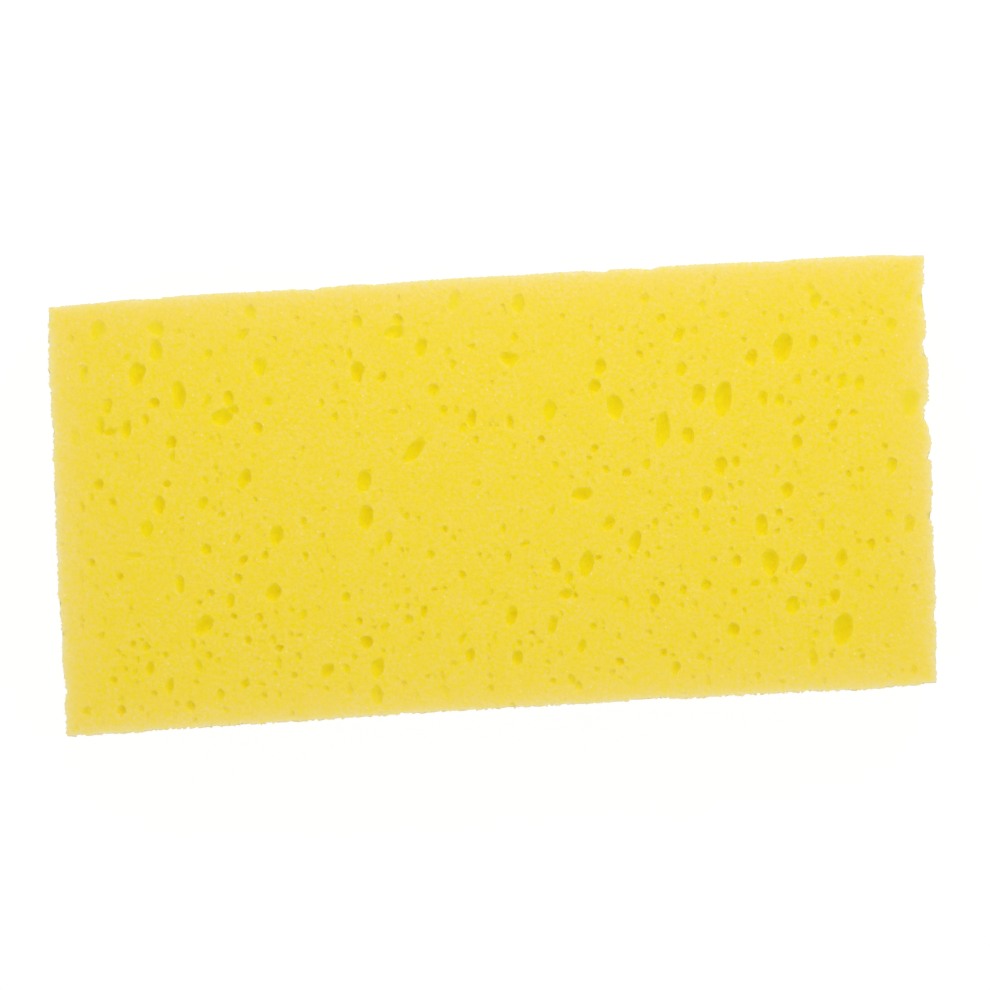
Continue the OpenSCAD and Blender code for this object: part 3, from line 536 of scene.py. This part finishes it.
def scattered_cells(place, length, width, pitch, coarse, share, settings, draw, taken=()):
    """Cells strewn over a face, one to each square of the pitch, with a share of them coarse."""
    cells = []
    columns, rows = round(length / pitch), round(width / pitch)
    for i in range(columns):
        for j in range(rows):
            x = ((i + draw.uniform(*IN_SQUARE)) / columns - 0.5) * length
            y = ((j + draw.uniform(*IN_SQUARE)) / rows - 0.5) * width
            size = settings.finest + (settings.fine - settings.finest) * draw.random() ** FINE_POWER
            if draw.random() < share:
                size = settings.fine + (coarse - settings.fine) * draw.random() ** COARSE_POWER
            stretch = draw.uniform(*STRETCH)
            lean = draw.gauss(*LEAN)
            depth = draw.uniform(*(FINE_DEPTH if size < settings.fine else COARSE_DEPTH)) * settings.floor
            if size > settings.fine and abs(y) > width / 2 - size:
                continue
            spot = place @ Vector((x, y, 0))
            if any((spot - other["centre"]).length < other["reach"] * KEEP_OUT for other in taken):
                continue
            detail = sum(size > step * MM for step in SCATTER_DETAIL)
            cells.append(cell(place, x, y, size, size * stretch, lean, depth, detail))
    return cells


def cell_mesh(one, settings, draw):
    """A lumpy ball for one cell, flared at the rim, narrower at its near end and pushed sideways
    as it goes down."""
    bm = bmesh.new()
    bmesh.ops.create_icosphere(bm, subdivisions=one["detail"], radius=1.0)
    angle = draw.uniform(0, math.tau)
    turn = Matrix.Rotation(angle, 3, Vector((draw.gauss(0, 1), draw.gauss(0, 1), 1)).normalized())
    seat = Vector((draw.uniform(0, 50), draw.uniform(0, 50), 0))
    for vert in bm.verts:
        point = turn @ vert.co
        point *= 1 + LUMPS * noise.noise(point * LUMPS_PER_RADIUS + seat)
        flare = max(0.0, 1 - max(0.0, one["surface"] - point.z) / FLARE_RUN)
        point.xy *= 1 - settings.flare * (1 - flare * flare)
        point.x *= 1 + TAPER * point.y
        point.x -= SHEAR * min(point.z, 0.0)
        vert.co = one["place"] @ Vector(p * s for p, s in zip(point, one["size"]))
    return bm


def groups_that_stay_apart(cells):
    """Sorts the cells into groups in which no two touch, because one cut can't take overlapping tools."""
    groups = []
    for one in sorted(cells, key=lambda c: -c["reach"]):
        square = tuple(int(c // SQUARE) for c in one["centre"])
        around = [tuple(s + step for s, step in zip(square, steps)) for steps in product((-1, 0, 1), repeat=3)]
        for group in groups:
            near = (other for place in around for other in group.get(place, ()))
            if all((one["centre"] - other["centre"]).length > one["reach"] + other["reach"] for other in near):
                break
        else:
            group = {}
            groups.append(group)
        group.setdefault(square, []).append(one)
    return [[one for square in group.values() for one in square] for group in groups]


def cut_cells(block, cells, settings, draw):
    """Cuts every group of cells out of the block, one group at a time."""
    scene = bpy.context.scene.collection
    scene.objects.link(block)
    for group in groups_that_stay_apart(cells):
        points, faces = [], []
        for one in group:
            bm = cell_mesh(one, settings, draw)
            first = len(points)
            points.extend(tuple(vert.co) for vert in bm.verts)
            faces.extend([first + vert.index for vert in face.verts] for face in bm.faces)
            bm.free()
        mesh = bpy.data.meshes.new("cutter")
        mesh.from_pydata(points, [], faces)
        cutter = bpy.data.objects.new("cutter", mesh)
        scene.objects.link(cutter)
        cut = block.modifiers.new("cut", "BOOLEAN")
        cut.operation, cut.solver, cut.object = "DIFFERENCE", "MANIFOLD", cutter
        graph = bpy.context.evaluated_depsgraph_get()
        result = bpy.data.meshes.new_from_object(block.evaluated_get(graph))
        block.modifiers.clear()
        old, block.data = block.data, result
        bpy.data.objects.remove(cutter)
        bpy.data.meshes.remove(mesh)
        bpy.data.meshes.remove(old)


class SPONGE_OT_foam(bpy.types.Operator):
    """Saw the foam block and open its cells"""
    bl_idname = "sponge.foam"
    bl_label = "Sawn foam block"

    def execute(self, context):
        block = context.scene.sponge_block
        settings = context.scene.sponge_cells
        lo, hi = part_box("sponge")
        draw = random.Random(settings.seed)
        piece = sawn_block(block)
        top = Matrix.Translation((0, 0, hi.z))
        cells = placed_cells(top, top_shift(block), settings)
        cells += scattered_cells(top, hi.x - lo.x, hi.y - lo.y, settings.top_pitch, settings.fine, TOP_COARSE,
                                 settings, draw, cells)
        for place, length, width in face_places(block):
            cells += scattered_cells(place, length, width, settings.side_pitch, settings.coarse, SIDE_COARSE,
                                     settings, draw)
        cut_cells(piece, cells, settings, draw)
        split_into_triangles(piece, block)
        rag_walls(piece.data, block, settings, draw)
        piece.data.materials.clear()
        piece.data.materials.append(open_cell_polyurethane(context.scene, block_planes(block)))
        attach(piece, "root")
        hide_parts("sponge")
        return {"FINISHED"}


def split_into_triangles(piece, block):
    """Puts points for the fray on the block's edges, splits the flat faces into triangles, and checks
    that the mesh is closed."""
    bm = bmesh.new()
    bm.from_mesh(piece.data)
    planes = block_planes(block)
    waiting = []
    for edge in bm.edges:
        middle = (edge.verts[0].co + edge.verts[1].co) / 2
        if sum(abs(distance - normal.dot(middle)) < TOUCHING for normal, distance in planes) > 1:
            waiting.append(edge)
    while waiting:
        edge = waiting.pop()
        if edge.calc_length() > block.fray_step:
            half, point = bmesh.utils.edge_split(edge, edge.verts[0], 0.5)
            waiting += [edge, half]
    bmesh.ops.triangulate(bm, faces=bm.faces)
    open_edges = [len(edge.link_faces) for edge in bm.edges if len(edge.link_faces) != 2]
    bm.to_mesh(piece.data)
    bm.free()
    if open_edges:
        raise RuntimeError(f"the foam's mesh is not closed: {len(open_edges)} edges have {open_edges[:3]} faces")
    print(f"{piece.name}: {len(piece.data.polygons)} triangles")


def strays_of_saw(block, points, gaps, top):
    """How far each point moves because the saw strayed, as an array of flat vectors. At the top
    edge the strays are as read, and further down they are guessed from noise."""
    share = np.clip(1 - (top - points[:, 2]) / block.stray_height, 0, 1)
    moves = np.zeros((len(points), 3))
    sides = zip(block_planes(block)[2:], gaps[:, 2:].T, (NEAR_SIDE, RIGHT_END, FAR_SIDE, LEFT_END), (0, 1, 0, 1))
    for (normal, distance), gap, readings, axis in sides:
        near = np.clip(1 - gap / block.stray_width, 0, 1)
        places, strays = zip(*readings)
        along = (points[:, axis] - (0 if axis else top_shift(block))) / MM
        read = np.interp(along, places, strays) * MM
        guess = np.zeros(len(points))
        # Each side has its own part of the noise, where a stray is twice as long down as along
        for i in np.flatnonzero((near > 0) & (share < 1)):
            seat = Vector((points[i, axis] / block.wander_run, distance * SIDES_APART,
                           points[i, 2] / block.wander_run / 2))
            guess[i] = noise.noise(seat) * block.wander * 2
        moves += np.outer((read * share + guess * (1 - share)) * near ** 2, normal)
    return moves


def rag_walls(mesh, block, settings, draw):
    """Notes where each point lies in the straight block, then roughens the cell walls, frays the
    block's edges and lets the saw stray."""
    flat = np.empty(len(mesh.vertices) * 3)
    mesh.vertices.foreach_get("co", flat)
    points = flat.reshape(-1, 3)
    planes = block_planes(block)
    normals = [normal for normal, distance in planes]
    gaps = np.array([distance for normal, distance in planes]) - points @ np.array(normals).T
    on_faces = gaps < TOUCHING
    straight = mesh.attributes.new("straight_place", "FLOAT_VECTOR", "POINT")
    straight.data.foreach_set("vector", flat.astype(np.float32))
    lo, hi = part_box("sponge")
    strays = strays_of_saw(block, points, gaps, hi.z)
    # Without a seed, Blender's vector noise differs from run to run
    noise.seed_set(settings.seed)
    rags = np.zeros((len(points), 3))
    for vert, on_face in zip(mesh.vertices, on_faces):
        rag = Vector()
        for run, share in RAGS:
            rag += noise.noise_vector(vert.co / run) * settings.ragged * share
        sawn = [normals[i] for i in np.flatnonzero(on_face)]
        for normal in sawn:
            rag -= normal * rag.dot(normal)
        if len(sawn) > 1:
            fray = block.fray * (draw.random() - FRAY_INSIDE)
            rag += sum((normal * (FAR_SIDE_FRAY if normal.y > 0.9 else 1.0) for normal in sawn if not normal.z),
                       Vector()) * fray
        rags[vert.index] = rag
    corners = np.empty(len(mesh.polygons) * 3, dtype=int)
    mesh.polygons.foreach_get("vertices", corners)
    corners = corners.reshape(-1, 3)
    moved = moved_with_care(moved_with_care(points, strays, corners), rags, corners)
    moved[:, 2] = np.clip(moved[:, 2], lo.z, hi.z)
    mesh.vertices.foreach_set("co", moved.ravel())
    soften_rims(mesh, moved, corners, on_faces.sum(axis=1) > 1)


def moved_with_care(points, moves, corners):
    """Moves each point by as much of its move as it can make without turning a thin triangle over."""
    ease = np.ones(len(points))
    corners = corners[np.linalg.norm(areas(points, corners), axis=1) > SLIVER]
    before = directions(areas(points, corners))
    for attempt in range(EASINGS):
        after = directions(areas(points + moves * ease[:, None], corners))
        turned = np.einsum("ij,ij->i", before, after) < TURN_LIMIT
        if not turned.any():
            break
        ease[corners[turned]] *= EASING
    return points + moves * ease[:, None]


def areas(points, corners):
    """The normal of each triangle, as long as twice its area."""
    a, b, c = (points[corners[:, i]] for i in range(3))
    return np.cross(b - a, c - a)


def directions(vectors):
    """The same vectors at unit length."""
    return vectors / np.maximum(np.linalg.norm(vectors, axis=1), 1e-15)[:, None]


def soften_rims(mesh, points, corners, on_edge):
    """Shades the foam smooth. The wide sawn faces weigh most at a cell's rim, so that the face stays flat
    and the cell's wall rolls over into it, and the block's own edges stay crisp."""
    normals = areas(points, corners)
    at_points = np.zeros((len(points), 3))
    for i in range(3):
        np.add.at(at_points, corners[:, i], normals)
    at_corners = directions(at_points)[corners]
    flat = on_edge[corners]
    at_corners[flat] = np.repeat(directions(normals)[:, None], 3, axis=1)[flat]
    mesh.shade_smooth()
    mesh.normals_split_custom_set(at_corners.reshape(-1, 3).tolist())


def open_cell_polyurethane(scene, planes):
    """Open-cell polyurethane foam, foamed in a block and sawn.

    The dye makes an opened cell a deep lemon yellow, while the walls that the saw tore lie over the cut
    surface as a pale, matt layer. Part of that paleness is a painted sheen, and a painted glow, strongest
    along the edges, stands for light leaking in through the sides.
    """
    finish = scene.sponge_finish
    material = bpy.data.materials.new("open_cell_polyurethane_foam_sawn")
    material.use_nodes = True
    tree = material.node_tree
    tree.nodes.clear()
    place = add(tree, "TexCoord", output="Object")

    # The distance inside each sawn face of the straight block. The least of them is how deep a
    # point lies in a cell, and the middle one of the three pairs is how far it is from an edge.
    straight = add(tree, "Attribute", {"attribute_name": "straight_place"}, output="Vector")
    gaps = []
    for normal, distance in planes:
        along = add(tree, "VectorMath", {"operation": "DOT_PRODUCT"}, {0: straight, 1: normal}, "Value")
        gaps.append(add(tree, "Math", {"operation": "SUBTRACT"}, {0: distance, 1: along}))
    pairs = [add(tree, "Math", LEAST, {0: gaps[a], 1: gaps[b]}) for a, b in ((0, 1), (2, 4), (3, 5))]
    low = add(tree, "Math", LEAST, {0: pairs[0], 1: pairs[1]})
    high = add(tree, "Math", MOST, {0: pairs[0], 1: pairs[1]})
    depth = add(tree, "Math", LEAST, {0: low, 1: pairs[2]})
    mid = add(tree, "Math", LEAST, {0: high, 1: pairs[2]})
    from_edge = add(tree, "Math", MOST, {0: low, 1: mid})

    # Painted edge glow: pale colour for light leaking in through the sides, which covers most of an edge
    # and thins out away from it, first fast and then slowly
    painted_edge_glow = 0.0
    for share, run in PAINTED_EDGE_GLOW:
        fade = add(tree, "Math", TIMES, {0: from_edge, 1: -1 / run})
        fade = add(tree, "Math", {"operation": "EXPONENT"}, {0: fade})
        painted_edge_glow = add(tree, "Math", TIMES_PLUS, {0: fade, 1: share, 2: painted_edge_glow})

    # The finest cells: thin pale walls round yellow hollows, two to a millimetre, and patches
    # where more or fewer of the walls were torn. A Map Range turns inputs 1 and 2 into 3 and 4.
    cells = add(tree, "TexVoronoi", {"feature": "DISTANCE_TO_EDGE"}, {"Vector": place, "Scale": 1 / finish.grain},
                "Distance")
    torn = add(tree, "MapRange", SMOOTH, {"Value": cells, 1: 0.0, 2: 0.3, 3: 1.7, 4: 0.45})
    for run, thick, thin in PATCHES:
        mottle = add(tree, "TexNoise", {}, {"Vector": place, "Scale": 1 / run, "Detail": 1.0})
        patchy = add(tree, "MapRange", {}, {"Value": mottle, 1: 0.32, 2: 0.68, 3: thick, 4: thin})
        torn = add(tree, "Math", TIMES, {0: torn, 1: patchy})
    # The pale layer over the sawn face is partly torn walls and partly a painted sheen
    torn = add(tree, "Math", TIMES, {0: torn, 1: finish.torn_and_sheen_share})

    # The cut colour is the foam with a painted sheen mixed in. Inside an opened cell there is no sawn
    # wall, so the cut colour fades below the rim
    sawn = add(tree, "MapRange", SMOOTH, {"Value": depth, 1: 0.0, 2: RIM, 3: 1.0, 4: 0.0})

    # Cells too small and shallow to cut show only as faint yellow spots, and so do patches of the
    # finest cells where no wall was torn
    windows = add(tree, "TexVoronoi", {"feature": "F1"}, {"Vector": place, "Scale": 1 / finish.glint_gap}, "Distance")
    chance = add(tree, "SeparateColor", {}, {0: windows.node.outputs["Color"]})
    faint = add(tree, "MapRange", SMOOTH, {"Value": windows, 1: 0.12, 2: 0.4, 3: 0.9, 4: 0.0})
    hollow = add(tree, "Math", {"operation": "LESS_THAN"}, {0: chance, 1: FAINT_BELOW})
    faint = add(tree, "Math", TIMES, {0: faint, 1: hollow})
    open_patch = add(tree, "MapRange", SMOOTH, {"Value": mottle, 1: 0.46, 2: 0.64, 3: 0.0, 4: 0.32})
    faint = add(tree, "Math", MOST, {0: faint, 1: open_patch})
    kept = add(tree, "Math", {"operation": "SUBTRACT"}, {0: 1.0, 1: faint})
    sawn = add(tree, "Math", TIMES, {0: sawn, 1: kept})

    # Inside an opened cell the painted edge glow is weaker
    reach = add(tree, "Math", TIMES_PLUS, {0: sawn, 1: 0.4, 2: 0.6})
    # rim is the painted edge glow at this point
    rim = add(tree, "Math", TIMES, {0: painted_edge_glow, 1: reach})
    # pale holds the torn walls with their painted sheen, and the painted edge glow
    pale = add(tree, "Math", {**TIMES_PLUS, "use_clamp": True}, {0: torn, 1: sawn, 2: rim})

    # A few cell windows lie flat to the light and glint
    glint = add(tree, "MapRange", {}, {"Value": windows, 1: 0.02, 2: 0.16, 3: 1.0, 4: 0.0})
    lit = add(tree, "Math", {"operation": "GREATER_THAN"}, {0: chance, 1: GLINT_ABOVE})
    for share in (lit, sawn, GLINT_SHARE):
        glint = add(tree, "Math", TIMES, {0: glint, 1: share})

    colour = add(tree, "Mix", COLOURS, {0: sawn, 6: linear(finish.foam), 7: linear(finish.cut)}, 2)
    for share, other in ((pale, finish.torn), (glint, finish.glint)):
        colour = add(tree, "Mix", COLOURS, {0: share, 6: colour, 7: linear(other)}, 2)

    # Relief of the finest cells
    relief = add(tree, "TexNoise", {}, {"Vector": place, "Scale": 1 / RELIEF, "Detail": 1.0})
    bump = add(tree, "Bump", {}, {"Strength": 0.85, "Distance": RELIEF_HEIGHT, "Height": relief})

    foam = add(tree, "BsdfPrincipled", {"subsurface_method": "RANDOM_WALK"}, {
        "Base Color": colour, "Roughness": 0.85, "IOR": 1.45, "Specular IOR Level": 0.12,
        "Subsurface Weight": 0.35, "Subsurface Radius": (1.0, 0.85, 0.25), "Subsurface Scale": 3.0 * MM,
        "Sheen Weight": 0.08, "Sheen Roughness": 0.6, "Normal": bump})
    add(tree, "OutputMaterial", {}, {"Surface": foam})
    return material


def painted_table(scene):
    """A white painted table top. The camera sees it blown out to white, with a trace of the shadow."""
    material = bpy.data.materials.new("white_painted_board")
    material.use_nodes = True
    tree = material.node_tree
    tree.nodes.clear()
    paint = add(tree, "BsdfDiffuse", {}, {"Color": linear(scene.sponge_stage.table)})
    glow = add(tree, "Emission", {}, {"Color": WHITE, "Strength": TABLE_GLOW})
    camera_ray = add(tree, "LightPath", output="Is Camera Ray")
    seen = add(tree, "Math", MOST, {0: camera_ray, 1: camera_ray.node.outputs["Is Glossy Ray"]})
    seen = add(tree, "Math", TIMES, {0: seen, 1: TABLE_SHARE})
    mix = add(tree, "MixShader", {}, {0: seen, 1: paint, 2: glow})
    add(tree, "OutputMaterial", {}, {"Surface": mix})
    return material


class SPONGE_OT_stage(bpy.types.Operator):
    """Set up the table, the lamps and the camera"""
    bl_idname = "sponge.stage"
    bl_label = "Table, lamps and camera"

    def execute(self, context):
        scene = context.scene
        settings = scene.sponge_stage
        lo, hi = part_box("sponge")
        mesh = bpy.data.meshes.new("table")
        corners = [(x * TABLE, y * TABLE, 0) for x, y in ((-1, -1), (1, -1), (1, 1), (-1, 1))]
        mesh.from_pydata(corners, [], [(0, 1, 2, 3)])
        table = bpy.data.objects.new("table", mesh)
        scene.collection.objects.link(table)
        table.location.z = lo.z - TOUCHING
        mesh.materials.append(painted_table(scene))

        for name, (spot, power) in SOFT_BOXES.items():
            lamp = bpy.data.lights.new(name, "AREA")
            lamp.shape, lamp.size, lamp.energy = "DISK", SOFT_BOX, getattr(settings, power)
            soft_box = bpy.data.objects.new(name, lamp)
            scene.collection.objects.link(soft_box)
            soft_box.location = spot
            soft_box.rotation_euler = (-soft_box.location).to_track_quat("-Z", "Y").to_euler()
            soft_box.visible_camera = False

        world = bpy.data.worlds.new("white_room")
        scene.world = world
        world.use_nodes = True
        tree = world.node_tree
        tree.nodes.clear()
        room = add(tree, "Background", {}, {"Color": WHITE, "Strength": settings.fill})
        seen = add(tree, "Background", {}, {"Color": WHITE, "Strength": 1.0})
        camera_ray = add(tree, "LightPath", output="Is Camera Ray")
        mix = add(tree, "MixShader", {}, {0: camera_ray, 1: room, 2: seen})
        add(tree, "OutputWorld", {}, {"Surface": mix})

        view = bpy.data.cameras.new("camera")
        view.lens, view.sensor_width = settings.lens, SENSOR
        away = settings.view_width * settings.lens / view.sensor_width
        view.clip_start, view.clip_end = away * 0.1, away * 10
        camera = bpy.data.objects.new("camera", view)
        scene.collection.objects.link(camera)
        camera.location = (0, 0, hi.z + away)
        camera.rotation_euler = (0, 0, settings.roll)
        scene.camera = camera
        scene.view_settings.view_transform = "Standard"
        return {"FINISHED"}


class SPONGE_PT_panel(bpy.types.Panel):
    """The settings, and a button for the piece and for the stage"""
    bl_idname = "SPONGE_PT_panel"
    bl_label = "Cleaning Sponge"
    bl_space_type = "VIEW_3D"
    bl_region_type = "UI"
    bl_category = "Sponge"

    def draw(self, context):
        for group in ("sponge_block", "sponge_cells", "sponge_finish", "sponge_stage"):
            settings = getattr(context.scene, group)
            box = self.layout.box()
            for name in settings.bl_rna.properties.keys():
                if name not in ("rna_type", "name"):
                    box.prop(settings, name)
        self.layout.operator(SPONGE_OT_foam.bl_idname)
        self.layout.operator(SPONGE_OT_stage.bl_idname)


SETTINGS = {
    "sponge_block": SpongeBlockSettings,
    "sponge_cells": SpongeCellSettings,
    "sponge_finish": SpongeFinishSettings,
    "sponge_stage": SpongeStageSettings,
}
CLASSES = (*SETTINGS.values(), SPONGE_OT_foam, SPONGE_OT_stage, SPONGE_PT_panel)


def register():
    for cls in CLASSES:
        bpy.utils.register_class(cls)
    for name, cls in SETTINGS.items():
        setattr(bpy.types.Scene, name, PointerProperty(type=cls))


def unregister():
    for name in SETTINGS:
        delattr(bpy.types.Scene, name)
    for cls in reversed(CLASSES):
        bpy.utils.unregister_class(cls)


def main():
    """Makes the sponge and its stage."""
    register()
    bpy.ops.sponge.foam()
    bpy.ops.sponge.stage()


if __name__ == "__main__":
    main()
